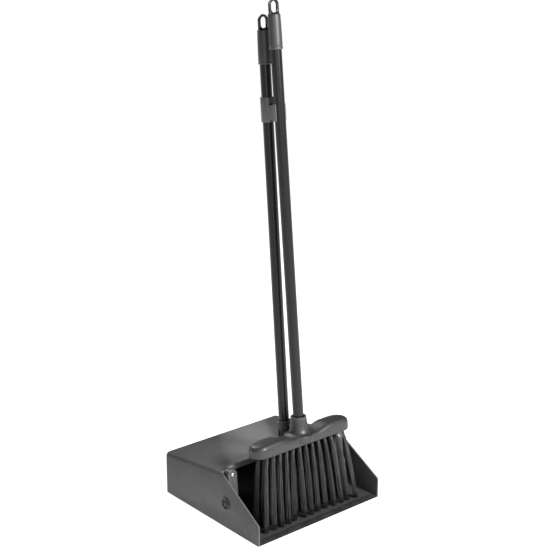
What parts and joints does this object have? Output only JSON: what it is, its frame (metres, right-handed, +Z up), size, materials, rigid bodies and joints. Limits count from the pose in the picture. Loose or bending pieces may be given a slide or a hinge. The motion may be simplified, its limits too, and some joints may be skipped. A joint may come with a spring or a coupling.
{
  "type": "dust pan and brush set",
  "caption": "Upright lobby dust pan, hooded, on a pivoting pole, with a long-handled brush clipped in front of the pole and standing in the pan's mouth.",
  "frame": {"origin": "on the floor, under the middle of the pan's footprint", "axes": "+Z up, +Y from the pan's mouth to its back, +X to the right seen from the mouth"},
  "size_m": [0.29, 0.278, 0.9011],
  "materials": {
    "pan_black": "moulded black polypropylene, fine satin texture",
    "lip_rubber": "soft matt black rubber",
    "bush_plastic": "plain moulded",
    "zinc_steel": "zinc plated",
    "yoke_plastic": "moulded dark grey",
    "pole_coating": "satin black powder coat",
    "grip_grey": "moulded mid grey",
    "loop_black": "moulded black",
    "clip_grey": "moulded mid grey",
    "block_grey": "moulded charcoal grey",
    "bristle_black": "loose bundles of crimped synthetic filament"
  },
  "bodies": {
    "pan": {"pan_shell": "pan_black", "lip_strip": "lip_rubber", "pivot_bush_left": "bush_plastic", "pivot_bush_right": "bush_plastic"},
    "pan_handle": {"pivot_pin_left": "zinc_steel", "pivot_pin_right": "zinc_steel", "push_nut_left": "zinc_steel", "push_nut_right": "zinc_steel", "yoke_arm_left": "yoke_plastic", "yoke_arm_right": "yoke_plastic", "yoke_beam": "yoke_plastic", "yoke_screws": "zinc_steel", "pole_socket": "yoke_plastic", "socket_screw": "zinc_steel", "pan_pole": "pole_coating", "pan_grip": "grip_grey", "pan_hanging_loop": "loop_black", "pole_clip": "clip_grey", "clip_bolt": "zinc_steel", "clip_nut": "zinc_steel"},
    "brush": {"brush_block": "block_grey", "thread_insert": "loop_black", "bristle_row_1": "bristle_black", "bristle_row_2": "bristle_black", "bristle_row_3": "bristle_black", "bristle_row_4": "bristle_black", "brush_pole": "pole_coating", "brush_grip": "grip_grey", "brush_hanging_loop": "loop_black"}
  },
  "joints": [
    {"name": "pan_tilt", "type": "hinge", "parent": "pan", "child": "pan_handle", "pos_m": [0, -0.049, 0.046], "axis": [1, 0, 0], "range_deg": [0, 60], "deforming": ["bristle_row_1", "bristle_row_2", "bristle_row_3", "bristle_row_4"]},
    {"name": "brush_unclip", "type": "slide", "parent": "pan_handle", "child": "brush", "axis": [0, -0.9956, 0.0941], "range_m": [0, 0.2]}
  ]
}
